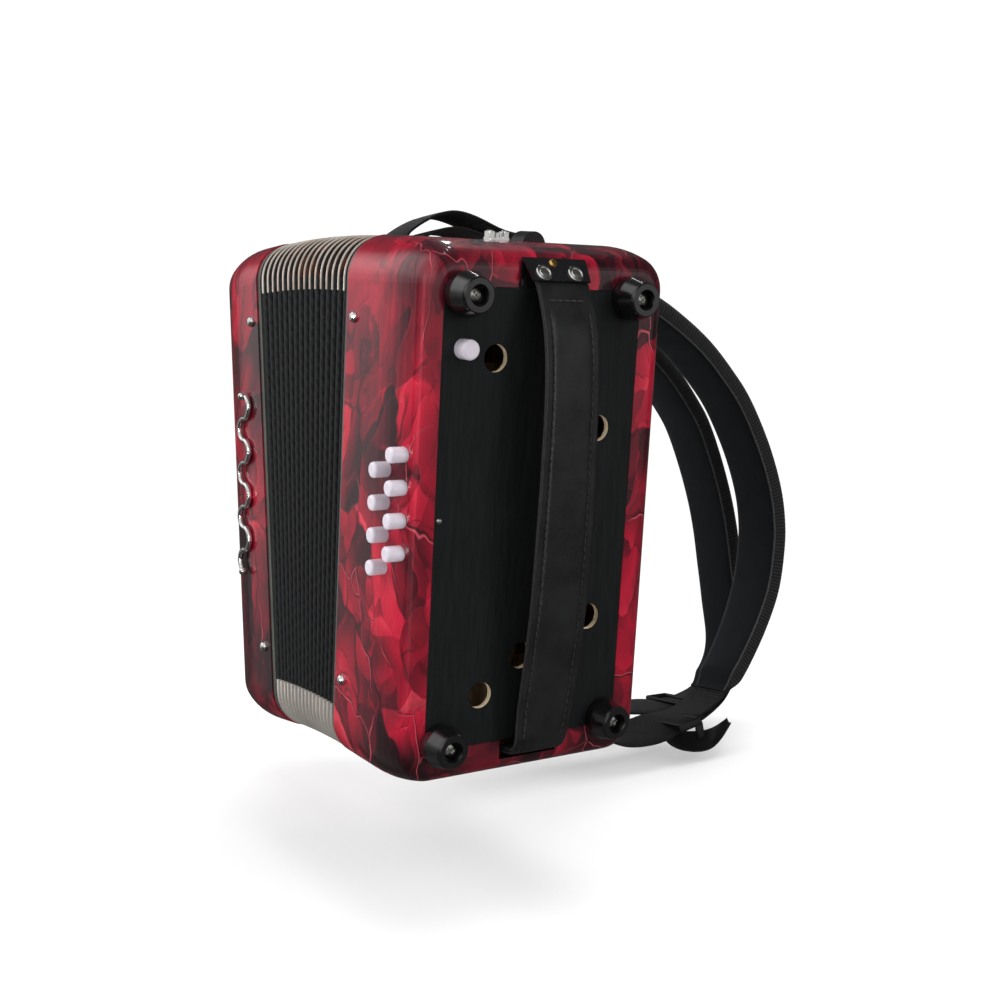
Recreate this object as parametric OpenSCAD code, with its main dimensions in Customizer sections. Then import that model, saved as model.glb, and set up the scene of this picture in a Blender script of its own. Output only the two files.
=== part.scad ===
// Small piano accordion: eight bass buttons, twenty-two treble keys, hand strap and two
// shoulder straps.
// Millimetres. +X runs along the bellows towards the bass end, -Y is the front, +Z is up.
// The origin is the centre of the flat band under the bass casing.

/* [Bass casing] */
// Depth of both casings, front to back
case_d = 154; // [140:1:180]
// Height of both casings
case_h = 270; // [250:1:300]
// Thickness of the bass casing, open side to rim
bass_w = 65; // [55:1:80]
// Outline corner radius
corner_r = 22; // [14:1:30]
// Radius of the rounded rim
edge_r = 10; // [6:0.5:12]
// Casing wall
wall_t = 4; // [3:0.5:6]
// Width of the black end panel
panel_w = 116.6; // [100:0.2:120]
// Height of the black end panel
panel_h = 226; // [210:1:228]
// Panel centre, measured from the casing centre (front is negative)
panel_y = -3.4; // [-6:0.2:6]
// Panel thickness
panel_t = 3.2; // [2:0.2:4]
// Radius of the five sound holes
sound_r = 6.7; // [4:0.1:9]

/* [Treble side] */
// Thickness of the treble casing
treble_w = 52; // [45:1:60]
// Pitch of the white keys
key_pitch = 19.5; // [17:0.1:19.6]
// Length of the white keys outside the casing
key_len = 86; // [70:1:100]
// Distance from the front of the casing back to the white key tops
key_set = 55; // [50:1:60]

/* [Bellows] */
// Angle between the two casings at rest
fan_deg = 8.29; // [6:0.01:9]
// Depth of the folds
fold_depth = 20; // [14:1:24]
// Thickness of one folded ring
fold_t = 5.4; // [4:0.1:5.6]

/* [Controls] */
// Radius of a bass button
button_r = 3.9; // [3:0.1:4.5]
// Vertical pitch of the bass buttons
button_pitch = 15.9; // [14:0.1:18]
// How far a bass button stands out
button_out = 8; // [6:0.5:10]
// Radius of the air button
air_r = 4.9; // [4:0.1:6]
// Running clearance, radial
run_c = 0.08; // [0.02:0.01:0.1]

/* [Straps] */
// Width of the hand strap
hand_w = 30; // [24:1:34]
// Thickness of the hand strap
hand_t = 3.4; // [2:0.2:5]
// Width of a shoulder strap
strap_w = 33; // [28:1:44]
// Thickness of the padded part of the shoulder straps
strap_t = 12.4; // [8:0.2:18]

/* [Hidden] */
$fn = 48;
red = [0.62, 0.03, 0.07];
black = [0.05, 0.05, 0.055];
ivory = [0.93, 0.92, 0.88];
chrome = [0.8, 0.8, 0.82];
leather = [0.07, 0.07, 0.075];
wood = [0.72, 0.56, 0.36];
cloth = [0.09, 0.09, 0.1];
rubber = [0.03, 0.03, 0.03];

half_d = case_d/2;
half_h = case_h/2;
end_x = 49.5;     // outer face of the bass casing
fan_z = -615;     // height of the line where both casing planes meet
fan_steps = 8;    // seven folds between the two casings

// Crown: the outline curves in along a parabola, then turns into the rounded rim
crown_curve = 0.00583;
crown_run = 27;
crown_a = atan(2*crown_curve*crown_run);
crown_x = -edge_r + edge_r*sin(crown_a) - crown_run;
crown_in = crown_curve*crown_run*crown_run;

// ---------------------------------------------------------------- shared frames and shapes
// Bass frame: x = 0 on the outer face, z = 0 at mid height
module bass_place() translate([end_x, 0, half_h]) children();
// Frame fanned out from the open side of the bass casing; share 1 is the treble side
module fan_place(share)
  bass_place() translate([-bass_w, 0, fan_z]) rotate([0, -fan_deg*share, 0])
    translate([0, 0, -fan_z]) children();
// Treble frame: x = 0 on the open side, the keyboard towards -x
module treble_place() fan_place(1) children();

module rod_x(radius, x0, x1)
  translate([x0, 0, 0]) rotate([0, 90, 0]) cylinder(r=radius, h=x1-x0);
module rod_y(radius, y0, y1)
  translate([0, y0, 0]) rotate([-90, 0, 0]) cylinder(r=radius, h=y1-y0);
module box(low, high) translate(low) cube(high-low);
// Turned shapes from [radius, height] points, height along +x or -y
module turned_x(points) rotate([0, 90, 0]) rotate_extrude() polygon(points);
module turned_front(points) rotate([90, 0, 0]) rotate_extrude() polygon(points);
module rounded_rect(w, h, r) {
  square([w-2*r, h], center=true);
  square([w, h-2*r], center=true);
  for (sx=[-1,1], sy=[-1,1]) translate([sx*(w/2-r), sy*(h/2-r)]) circle(r);
}

// Casing outline [x, inset], from the open side at -width to the rim at 0
function case_profile(width) = concat(
  [[-width, 0], [crown_x, 0]],
  [for (i=[1:6]) [crown_x + crown_run*i/6, crown_curve*pow(crown_run*i/6, 2)]],
  [for (i=[1:8]) let (a = crown_a + (90-crown_a)*i/8)
    [-edge_r + edge_r*sin(a), crown_in + edge_r*cos(crown_a) - edge_r*cos(a)]]);
function crown_inset(x) = x < crown_x ? 0 : crown_curve*pow(x-crown_x, 2);

// Rounded box set in from the casing outline, following a profile of [x, inset]
module profiled_box(profile, inset=0, radius=corner_r) {
  hd = half_d - inset;
  hh = half_h - inset;
  last = len(profile)-1;
  for (sy=[-1,1], sz=[-1,1]) translate([0, sy*(hd-radius), sz*(hh-radius)])
    rotate([0, 90, 0]) rotate_extrude($fn=64)
      polygon(concat([[0, profile[0][0]]], [for (p=profile) [radius-p[1], p[0]]],
                     [[0, profile[last][0]]]));
  // slab across the full height
  rotate([90, 0, 0]) linear_extrude(2*(hd-radius), center=true) polygon(both_sides(profile, hh));
  // slab across the full depth
  linear_extrude(2*(hh-radius), center=true) polygon(both_sides(profile, hd));
}
function both_sides(profile, half) = concat(
  [for (p=profile) [p[0], half-p[1]]],
  [for (i=[len(profile)-1:-1:0]) [profile[i][0], profile[i][1]-half]]);
module straight_box(inset, radius, x0, x1) profiled_box([[x0, 0], [x1, 0]], inset, radius);

// Smooth line through the stations, three points for each span, without the last station
function spline(a, b, c, d, t) =
  0.5*(2*b + (c-a)*t + (2*a-5*b+4*c-d)*t*t + (3*b-a-3*c+d)*t*t*t);
function path(p) = [for (i=[0:len(p)-2], j=[0:2])
  spline(p[max(0,i-1)], p[i], p[i+1], p[min(len(p)-1,i+2)], j/3)];
// Band along a line, with half its thickness given at each point
module ribbon(line, half) {
  last = len(line)-1;
  offsets = [for (i=[0:last])
    let (d = line[min(last,i+1)] - line[max(0,i-1)]) [-d[1], d[0]]*half[i]/norm(d)];
  polygon(concat([for (i=[0:last]) line[i]+offsets[i]],
                 [for (i=[last:-1:0]) line[i]-offsets[i]]));
}

// ---------------------------------------------------------------- bellows pins and frames
lip_t = 3;       // frame lip between casing and bellows
collar_l = 12;   // reach of the bass frame into its casing
collar_t = 7;
bass_pin_x = -57.5;
bass_pin_z = [94.5, -89.7];
treble_pin_x = -7.8;
treble_pin_z = [92.2, -89];

// Holes in the front and back faces, between two depths
module pin_holes(x, heights, from, to) for (z=heights) translate([x, 0, z]) {
  rod_y(1.25, -half_d+from, -half_d+to);
  rod_y(1.25, half_d-to, half_d-from);
}
module pin() {
  rod_y(1.2, 0, 9.5);
  turned_front([[0,-0.1], [1.1,-0.1], [1.1,0.06], [2.9,0.06], [2.9,0.7], [2.5,1.5],
                [1.6,2.3], [0,2.6]]);
}
module pins(x, heights) for (z=heights) {
  translate([x, -half_d, z]) pin();
  translate([x, half_d, z]) mirror([0, 1, 0]) pin();
}
// x = 0 on the casing's open side, +x into the casing
module bellows_frame(length, pin_x, heights) difference() {
  union() {
    straight_box(wall_t+0.2, corner_r-wall_t, -0.5, length);
    straight_box(1, corner_r-1, -lip_t, -0.05);
  }
  straight_box(wall_t+collar_t, corner_r-wall_t-collar_t+2, -lip_t-1, length+1);
  pin_holes(pin_x, heights, 2, 20);
}
// Board with three banks of nine reed cells; x ranges as [from, to]
module reed_block(rows, inset, board_x, bank_x, bank_z, cell_x) difference() {
  union() {
    box([board_x[0], -half_d+inset, -half_h+inset], [board_x[1], half_d-inset, half_h-inset]);
    for (y=rows) box([bank_x[0], y-9, -bank_z], [bank_x[1], y+9, bank_z]);
  }
  for (y=rows, k=[-4:4]) box([cell_x[0], y-6, k*20-7], [cell_x[1], y+6, k*20+7]);
}

// ---------------------------------------------------------------- bass side
// Places on the end face, [y, z]
foot_at = [[-51.4,109.6], [47.6,109.6], [47.6,-109.6], [-53.4,-109.6]];
sound_at = [[-31.4,79.6], [33.1,44.4], [34.5,-53.7], [-30.6,-87.7], [-7,-69.9]];
air_at = [-50.3, 84];
nail_at = [-59.3, 2.2];
module on_end(place) translate([0, place[0], place[1]]) children();

panel_gap = 0.2;
ledge_w = 5;
module panel_block(margin, x0, x1)
  translate([0, panel_y, 0])
    box([x0, -panel_w/2-margin, -panel_h/2-margin], [x1, panel_w/2+margin, panel_h/2+margin]);

// Bass buttons: two columns of four, the first nearer the rim
button_x = [-11.3, -22.6];
button_z = [33.1, 24.5];   // top button of each column
function button_at(i) = let (column = floor(i/4))
  [button_x[column], button_z[column] - (i%4)*button_pitch];

// Strap plate: a foot in the rim's recess and a flap sloping out over the strap's end
hand_y = 1.5;
plate_foot = 18.8;   // half width
plate_z = 127.2;     // top of the foot
slot_z = -112.5;     // top of the lower strap slot
flap_a = 37.7;
flap_screw = [0, -2, -2.5];
rivet_y = 9.5;
rivet_z = -8.2;
module on_flap() translate([-0.9, 0, 126.6]) rotate([0, -flap_a, 0]) children();
module on_rivets() on_flap() for (s=[-1,1]) translate([0, s*rivet_y, rivet_z]) children();

// Closure on top of the casing
closure_x = -40;
tab_y = 11.9;
stud_y = -7.3;
stud_dy = 4.3;   // screws either side of the stud centre

module bass_casing() color(red) bass_place() difference() {
  profiled_box(case_profile(bass_w));
  // hollow
  profiled_box([[-bass_w-1, wall_t], [-34, wall_t], [-18, wall_t+1.2], [-6.4, wall_t+4.4]]);
  // end opening with a ledge for the panel
  panel_block(panel_gap, -panel_t, 4-panel_t);
  panel_block(-ledge_w, -8, 1);
  // recess for the strap plate in the top rim, slot in the bottom rim
  box([-1.2, -20.5, panel_h/2-4], [2, 20.5, plate_z+0.6]);
  box([-7, hand_y-hand_w/2-3.5, -123.4], [1, hand_y+hand_w/2+1.8, slot_z]);
  for (i=[0:7]) let (place = button_at(i))
    translate([place[0], 0, place[1]]) rod_y(button_r+run_c, -half_d-2, -half_d+12);
  pin_holes(bass_pin_x, bass_pin_z, -1, 6);
  // screw and nail holes
  for (f=foot_at) on_end(f) rod_x(1.56, -14, 1);
  on_end(nail_at) rod_x(0.8, -9, 1);
  on_flap() translate(flap_screw) rod_x(1.25, -7, 2.5);
  for (s=[-1,1]) translate([closure_x, stud_y+s*stud_dy, half_h-5]) cylinder(r=0.9, h=8);
}
module bass_end_panel() color(black) bass_place() difference() {
  panel_block(0, -panel_t, 0);
  for (h=sound_at) on_end(h) rod_x(sound_r, -9, 4);
  on_end(air_at) rod_x(air_r+run_c, -9, 4);
  for (f=foot_at) on_end(f) rod_x(1.6, -9, 4);
  on_end(nail_at) rod_x(0.8, -9, 4);
  // room for the lower strap slot
  box([-9, hand_y-hand_w/2-1.5, -120], [1, hand_y+hand_w/2+1.5, slot_z]);
}
module rubber_feet() color(rubber) bass_place() for (f=foot_at) on_end(f)
  turned_x([[1.8,0], [10.5,0], [11,0.6], [11,5.2], [10.7,6.2], [8.9,12.7], [8.5,13.6],
            [7.9,14], [5.2,14], [5,13.6], [5,8], [1.8,8]]);
module foot_screws() color(chrome) bass_place() {
  for (f=foot_at) on_end(f) difference() {
    union() {
      rod_x(1.5, -12, 8.1);
      turned_x([[0,8], [3.8,8], [3.8,9], [2.8,10.2], [1.4,10.7], [0,10.8]]);
    }
    // cross slot
    for (a=[45,135]) translate([11, 0, 0]) rotate([a, 0, 0]) cube([2.6, 4.4, 0.8], center=true);
  }
  // small round-head nail at the panel's front edge
  on_end(nail_at) {
    rod_x(0.75, -8, 0.2);
    turned_x([[0,0.05], [1.7,0.05], [1.6,0.6], [1,1.1], [0,1.3]]);
  }
}
// Centre line of the hand strap, [x, z], from the slot in the bottom rim to the plate
hand_stations = [
  [-5.5,-119], [1.5,-119.2], [6.2,-117.6], [9.0,-113], [10.5,-105], [12,-93], [14,-77],
  [16.3,-58], [18,-38], [18.8,-15], [19.2,12], [19.1,38], [18.6,61], [17,81], [14.2,95],
  [10.6,105], [7.6,111.2], [5.2,115.4], [1.9,119.8]];
hand_line = path(hand_stations);
module hand_strap() color(leather) bass_place()
  translate([0, hand_y, 0]) rotate([90, 0, 0]) linear_extrude(hand_w, center=true)
    ribbon(hand_line, [for (p=hand_line) hand_t/2]);
module strap_plate() color(black) bass_place() difference() {
  union() {
    box([-1.15, -plate_foot, panel_h/2+0.15], [-0.1, plate_foot, plate_z]);
    on_flap() rotate([90, 0, 90]) linear_extrude(1.0)
      polygon([[-plate_foot,0.6], [plate_foot,0.6], [17.0,-12.6], [-17.0,-12.6]]);
  }
  on_rivets() rod_x(1.6, -1.1, 4);
  on_flap() translate(flap_screw) rod_x(1.25, -7, 4);
}
module strap_rivets() color(chrome) bass_place() {
  on_rivets() turned_x([[0,1.05], [4.4,1.05], [4.4,1.4], [3.9,1.9], [3.3,1.9], [2.9,1.35],
                        [2.4,1.9], [1.3,2.3], [0,2.4]]);
  on_flap() translate(flap_screw) {
    rod_x(1.1, -6, 1.3);
    turned_x([[0,1.05], [2.3,1.05], [2.3,1.5], [1.6,2.3], [0,2.5]]);
  }
}
module bass_reed_block() color(wood) bass_place()
  reed_block(rows=[-30,0,30], inset=12, board_x=[-52,-48.5], bank_x=[-80,-51], bank_z=95,
             cell_x=[-84,-46]);
module bass_bellows_frame() color(wood) bass_place() translate([-bass_w, 0, 0])
  bellows_frame(collar_l, bass_pin_x+bass_w, bass_pin_z);
module bass_bellows_pins() color(chrome) bass_place() pins(bass_pin_x, bass_pin_z);
// Domed leather tab
module closure_tab() color(leather) bass_place()
  translate([closure_x, tab_y, half_h]) rotate([90, 0, 90]) linear_extrude(11, center=true)
    intersection() {
      translate([0, -1.7]) circle(7.0, $fn=72);
      translate([-8, 0.08]) square([16, 8]);
    }
module closure_stud() color(chrome) bass_place() translate([closure_x, stud_y, half_h]) {
  difference() {
    union() {
      translate([0, 0, 0.1]) linear_extrude(1.0) rounded_rect(7, 12.6, 1.2);
      for (s=[-1,1]) translate([0, s*stud_dy, 0.6])
        linear_extrude(3.6) rounded_rect(5.2, 3.8, 0.9);
      cylinder(r=1.7, h=3.6);
    }
    for (s=[-1,1]) translate([0, s*stud_dy, -1]) cylinder(r=0.9, h=8);
  }
  // screws
  for (s=[-1,1]) translate([0, s*stud_dy, 0]) {
    translate([0, 0, -3.5]) cylinder(r=0.82, h=7.8);
    translate([0, 0, 4.25]) cylinder(r=1.5, h=0.5);
  }
}
module air_button() color(ivory) bass_place() on_end(air_at)
  turned_x([[0,-12], [7.5,-12], [7.5,-9], [air_r,-9], [air_r,6.4], [air_r-0.4,7.4],
            [air_r-1.4,8], [0,8]]);
module bass_button(i) {
  place = button_at(i);
  color(ivory) bass_place()
    translate([place[0], -half_d+crown_inset(place[0]), place[1]])
      turned_front([[0,-22], [1.6,-22], [1.6,-9], [button_r,-9], [button_r,button_out-1.2],
                    [button_r-0.35,button_out-0.4], [button_r-1.3,button_out],
                    [0,button_out]]);
}
module bass_button_1() bass_button(0);
module bass_button_2() bass_button(1);
module bass_button_3() bass_button(2);
module bass_button_4() bass_button(3);
module bass_button_5() bass_button(4);
module bass_button_6() bass_button(5);
module bass_button_7() bass_button(6);
module bass_button_8() bass_button(7);

// ---------------------------------------------------------------- bellows
fold_in = 1.5;    // folds set in from the casing outline
web_in = 6.5;
plate_t = 1.2;
// Two thin plates joined by a deeper web, at a step counted from the bass side
module fold_ring(step) color(cloth) fan_place(step/fan_steps)
  translate([-lip_t*(1-2*step/fan_steps), 0, 0]) difference() {
    union() {
      straight_box(fold_in, corner_r-fold_in, -fold_t/2, -fold_t/2+plate_t);
      straight_box(fold_in, corner_r-fold_in, fold_t/2-plate_t, fold_t/2);
      straight_box(web_in, corner_r-web_in, -fold_t/2, fold_t/2);
    }
    straight_box(fold_in+fold_depth, 4, -fold_t, fold_t);
  }
module bellows_fold_1() fold_ring(7);
module bellows_fold_2() fold_ring(6);
module bellows_fold_3() fold_ring(5);
module bellows_fold_4() fold_ring(4);
module bellows_fold_5() fold_ring(3);
module bellows_fold_6() fold_ring(2);
module bellows_fold_7() fold_ring(1);

// ---------------------------------------------------------------- treble side
key_top = -half_d+key_set;   // y of the white key tops
key_x = -treble_w-2;         // inner end of the visible keys
axle_x = -26;
axle_y = -8;
axle_r = 1.5;
frame_h = 268;               // keyboard frame
n_keys = 22;

// Keys count down from the top; key 0 is an F, and notes count up from C
function is_black(i) = let (note = (i+5)%12)
  note==1 || note==3 || note==6 || note==8 || note==10;
function whites_before(i) = i==0 ? 0 : whites_before(i-1) + (is_black(i-1) ? 0 : 1);
function key_z(i) =
  key_pitch*(whites_before(n_keys)/2 - whites_before(i) - (is_black(i) ? 0 : 0.5));
// From the axle forward to the pallet centre
function pallet_reach(i) = is_black(i) ? 52 : 26;

module treble_casing() color(red) treble_place() difference() {
  rotate([0, 0, 180]) translate([treble_w, 0, 0]) profiled_box(case_profile(treble_w));
  rotate([0, 0, 180])
    profiled_box([[-1, wall_t], [24, wall_t], [treble_w-4.5, wall_t+2.4]]);
  // flat outer face, trimmed in one plane
  box([-treble_w-5, -half_d, -half_h], [-treble_w+0.04, half_d, half_h]);
  // slot for the key levers
  box([-treble_w-2, key_top+1.5, -126], [-treble_w+8, key_top+20.5, 126]);
  // sound slots in front of the keyboard
  for (k=[-5:5]) translate([-treble_w, -half_d+24.5, k*18]) {
    box([-2, -6, -4], [8, 6, 4]);
    for (s=[-1,1]) translate([0, s*6, 0]) rod_x(4, -2, 8);
  }
  pin_holes(treble_pin_x, treble_pin_z, -1, 6);
}
module keyboard_frame() color(red) treble_place() difference() {
  translate([-treble_w-46, 0, 0]) linear_extrude(frame_h, center=true) difference() {
    translate([0.8, 11]) rounded_rect(90.2, 80, 10);
    // flat front
    translate([-50, -40]) square([100, 12]);
  }
  // room for the keys between the two cheeks
  box([-treble_w-95, key_top-12, -127.6], [-treble_w+1, 0, 127.6]);
}
module key_axle() color(chrome) treble_place()
  translate([axle_x, axle_y, 0]) cylinder(r=axle_r, h=case_h-2*wall_t-1.2, center=true);
module treble_reed_board() color(wood) treble_place() difference() {
  reed_block(rows=[-42,-8,26], inset=11.6, board_x=[-14,-10.5], bank_x=[-11,15], bank_z=96,
             cell_x=[-9,18]);
  // a slot under each pallet
  for (i=[0:n_keys-1]) translate([-16, axle_y-pallet_reach(i), key_z(i)])
    rotate([0, 90, 0]) linear_extrude(12) rounded_rect(5.4, 12, 2.6);
}
module treble_bellows_frame() color(wood) treble_place() rotate([0, 0, 180])
  bellows_frame(collar_l-2, -treble_pin_x, treble_pin_z);
module treble_bellows_pins() color(chrome) treble_place() pins(treble_pin_x, treble_pin_z);

// Plain wave of half rings with a ball at each end
wave_r = 6.2;
wave_n = 8;
module ornament() color(chrome) treble_place()
  translate([-22, -half_d-1.6, 2]) rotate([0, 4.6, 0]) {
    for (k=[0:wave_n-1]) translate([0, 0, (wave_n/2-0.5-k)*2*wave_r]) rotate([90, 0, 0])
      rotate_extrude(angle=180, start=(k%2==0 ? -90 : 90))
        translate([wave_r, 0]) circle(1.5, $fn=24);
    for (s=[-1,1]) translate([0, -1.25, s*wave_n*wave_r]) sphere(2.4, $fn=32);
  }

// ---------------------------------------------------------------- shoulder straps
strap_x = [-36, -84];             // near the bellows, near the keyboard
// Bracket bars, [y, z]
top_bar = [30, half_h+5.9];
bottom_bar = [half_d+6.5, -124];
// Centre lines, [y, z], from the top bracket over the back to the bottom one
inner_stations = [
  [31.4,142.6], [35,148.5], [46,155.5], [58,160.6], [69,162.3], [82,160], [99,153.8],
  [122,146], [152,136], [190,123.5], [222,112], [245,100], [271,82], [292,61.5],
  [309,40.5], [326,8.5], [336.5,-22], [339.8,-48], [337.8,-70], [332,-94], [320.5,-117],
  [306,-138.5], [293,-154], [277,-167], [259,-175], [240,-180], [216,-184],
  [190,-181.5], [163,-170], [138,-155], [115,-140.5], [98,-131], [85.5,-124.8]];
outer_stations = [
  [31.4,142.6], [36,147], [50,149.2], [70,149.2], [96,146.5], [125,141], [158,132.5],
  [195,121.5], [226,109.5], [248,96], [268,79], [286,62], [301,43.5], [312,27], [323,1],
  [332,-27], [337.5,-52], [341,-78], [344.5,-106], [346,-136], [339.5,-156],
  [326,-170.5], [307,-177.5], [286,-179], [258,-178.5], [226,-174], [190,-165],
  [155,-154], [118,-140.5], [98,-131], [85.5,-124.8]];
web_half = 1.1;   // half thickness of the unpadded webbing
// Half thickness at a share of the length: padded from about 0.2 to 0.7
function strap_half(share) = web_half + (strap_t/2-web_half)
  * min(1, max(0, (share-0.20)/0.05)) * min(1, max(0, (0.705-share)/0.03));

module strap_band(x, stations) {
  line = path(stations);
  last = len(line)-1;
  translate([x, 0, 0]) rotate([90, 0, 90]) linear_extrude(strap_w, center=true)
    difference() {
      union() {
        for (bar=[top_bar, bottom_bar]) translate(bar) circle(2.9);
        ribbon(line, [for (i=[0:last]) strap_half(i/last)]);
      }
      for (bar=[top_bar, bottom_bar]) translate(bar) circle(1.35);
    }
}
module shoulder_straps() color(leather) treble_place() {
  strap_band(strap_x[0], inner_stations);
  strap_band(strap_x[1], outer_stations);
}
// Frame round the webbing over a curved foot
module slider() {
  width = strap_w+8;
  slot = strap_w+1.2;
  difference() {
    cube([width, 20, 6.6], center=true);
    cube([slot, 30, 4.0], center=true);
    for (s=[-1,1]) translate([0, s*5.2, -3]) cube([slot, 5.2, 4.5], center=true);
  }
  rotate([90, 0, 90]) linear_extrude(width, center=true) difference() {
    translate([12, 17]) circle(34, $fn=96);
    translate([12, 19.4]) circle(34, $fn=96);
    translate([-60, -9.5]) square(140);
  }
  for (s=[-1,1]) translate([s*(strap_w/2+2.8), 8, -8.4]) cube([2.4, 8, 13.6], center=true);
}
module strap_sliders() color(black) treble_place() {
  translate([strap_x[0], 240, -180]) rotate([12, 0, 0]) slider();
  translate([strap_x[1], 286, -179]) rotate([-1, 0, 0]) slider();
}
// Base plate, two cheeks over the range [from, to] and a cross bar
module bracket(cheek, bar_z, bar_l) {
  linear_extrude(1.2) rounded_rect(44, 16, 3);
  for (s=[-1,1]) translate([s*20.6, 0, (cheek[0]+cheek[1])/2])
    cube([1.6, 6, cheek[1]-cheek[0]], center=true);
  translate([0, 0, bar_z]) rotate([0, 90, 0]) cylinder(r=1.0, h=bar_l, center=true);
}
// For each strap: the height of the top base, the y of the back base, the back cheek
top_base = [half_h+0.1, frame_h/2+0.1];
back_base = [half_d+0.1, 51];
back_cheek = [8.8, 34.8];
module strap_brackets() color(chrome) treble_place() for (i=[0,1]) {
  translate([strap_x[i], top_bar[0], top_base[i]])
    bracket([0.5, 9.5], top_bar[1]-top_base[i], 42);
  translate([strap_x[i], back_base[i], bottom_bar[1]]) rotate([-90, 0, 0])
    bracket([0, back_cheek[i]], bottom_bar[0]-back_base[i], 44);
}

// ---------------------------------------------------------------- keys
key_gap = 0.4;     // each side of a white key
notch_w = 5.7;     // cut beside a black key
module white_key(i) {
  side = key_pitch/2-key_gap;
  difference() {
    union() {
      box([key_x-key_len, key_top, -side], [key_x, key_top+6, side]);
      box([key_x-key_len, key_top+1, -side], [key_x-key_len+5, key_top+13, side]);
    }
    if (i>0 && is_black(i-1))
      box([key_x-54, key_top-1, key_pitch/2-notch_w], [key_x+1, key_top+9, key_pitch/2+1]);
    if (i<n_keys-1 && is_black(i+1))
      box([key_x-54, key_top-1, -key_pitch/2-1], [key_x+1, key_top+9, -key_pitch/2+notch_w]);
  }
}
module black_key() linear_extrude(9.6, center=true) polygon([
  [key_x, key_top-8], [key_x-47, key_top-8], [key_x-51, key_top-6.5],
  [key_x-53, key_top+1], [key_x-53, key_top+7], [key_x, key_top+7]]);
module key(i) {
  pallet_y = axle_y-pallet_reach(i);
  color(is_black(i) ? black : ivory) treble_place() translate([0, 0, key_z(i)]) difference() {
    union() {
      if (is_black(i)) black_key();
      else white_key(i);
      // lever through the casing wall
      box([key_x-20, key_top+5.5, -2.6], [axle_x, key_top+13, 2.6]);
      translate([axle_x, axle_y, 0]) cylinder(r=4.4, h=5.2, center=true);
      // pallet arm and pallet
      box([axle_x-1.6, pallet_y-6, -2.2], [axle_x+1.6, axle_y, 2.2]);
      box([axle_x-1.6, pallet_y-8, -4.2], [-14.4, pallet_y+8, 4.2]);
    }
    translate([axle_x, axle_y, 0]) cylinder(r=axle_r+run_c, h=30, center=true);
  }
}
module key_01() key(0);
module key_02() key(1);
module key_03() key(2);
module key_04() key(3);
module key_05() key(4);
module key_06() key(5);
module key_07() key(6);
module key_08() key(7);
module key_09() key(8);
module key_10() key(9);
module key_11() key(10);
module key_12() key(11);
module key_13() key(12);
module key_14() key(13);
module key_15() key(14);
module key_16() key(15);
module key_17() key(16);
module key_18() key(17);
module key_19() key(18);
module key_20() key(19);
module key_21() key(20);
module key_22() key(21);

// Sub-part to draw

treble_casing();
keyboard_frame();
key_axle();
treble_reed_board();
treble_bellows_frame();
treble_bellows_pins();
ornament();
strap_brackets();
shoulder_straps();
strap_sliders();
key_01();
key_02();
key_03();
key_04();
key_05();
key_06();
key_07();
key_08();
key_09();
key_10();
key_11();
key_12();
key_13();
key_14();
key_15();
key_16();
key_17();
key_18();
key_19();
key_20();
key_21();
key_22();
bellows_fold_1();
bellows_fold_2();
bellows_fold_3();
bellows_fold_4();
bellows_fold_5();
bellows_fold_6();
bellows_fold_7();
bass_casing();
bass_end_panel();
rubber_feet();
foot_screws();
hand_strap();
strap_plate();
strap_rivets();
bass_reed_block();
bass_bellows_frame();
bass_bellows_pins();
closure_tab();
closure_stud();
air_button();
bass_button_1();
bass_button_2();
bass_button_3();
bass_button_4();
bass_button_5();
bass_button_6();
bass_button_7();
bass_button_8();
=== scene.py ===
"""Piano accordion in red pearl, standing upright with its bellows fanned open.

Frame: metres, +Z up. The bass end is at +X and the treble casing at -X. Y is the depth: the
shoulder straps loop out on +Y. Shapes are worked out in millimetres ("working" coordinates),
with x = 0 on the bass end panel's face and z = 0 at the casings' mid height.
"""
import bpy, bmesh
import math
import numpy as np
from mathutils import Matrix, Vector

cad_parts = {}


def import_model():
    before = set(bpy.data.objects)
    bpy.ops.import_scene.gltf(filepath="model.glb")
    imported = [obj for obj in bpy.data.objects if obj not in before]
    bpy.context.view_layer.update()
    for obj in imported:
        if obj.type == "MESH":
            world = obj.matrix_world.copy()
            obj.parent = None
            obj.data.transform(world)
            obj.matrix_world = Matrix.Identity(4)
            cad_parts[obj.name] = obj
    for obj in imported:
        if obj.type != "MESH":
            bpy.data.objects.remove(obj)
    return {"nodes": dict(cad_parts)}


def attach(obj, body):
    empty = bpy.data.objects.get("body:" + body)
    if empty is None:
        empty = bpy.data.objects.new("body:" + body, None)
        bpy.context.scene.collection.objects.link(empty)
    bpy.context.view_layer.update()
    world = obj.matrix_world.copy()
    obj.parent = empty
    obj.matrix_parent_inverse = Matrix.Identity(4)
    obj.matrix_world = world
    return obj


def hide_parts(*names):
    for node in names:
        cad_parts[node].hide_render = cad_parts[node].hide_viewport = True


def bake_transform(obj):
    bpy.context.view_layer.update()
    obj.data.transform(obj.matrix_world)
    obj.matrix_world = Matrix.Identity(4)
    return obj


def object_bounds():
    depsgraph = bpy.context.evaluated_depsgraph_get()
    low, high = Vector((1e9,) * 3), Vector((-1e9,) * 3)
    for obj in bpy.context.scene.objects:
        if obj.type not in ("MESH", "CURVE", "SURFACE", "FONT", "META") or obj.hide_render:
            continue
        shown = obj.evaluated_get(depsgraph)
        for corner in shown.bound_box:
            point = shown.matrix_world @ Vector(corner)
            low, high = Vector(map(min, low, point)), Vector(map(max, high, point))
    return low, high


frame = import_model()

CAD_LO, CAD_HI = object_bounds()
NODES = frame["nodes"]

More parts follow.
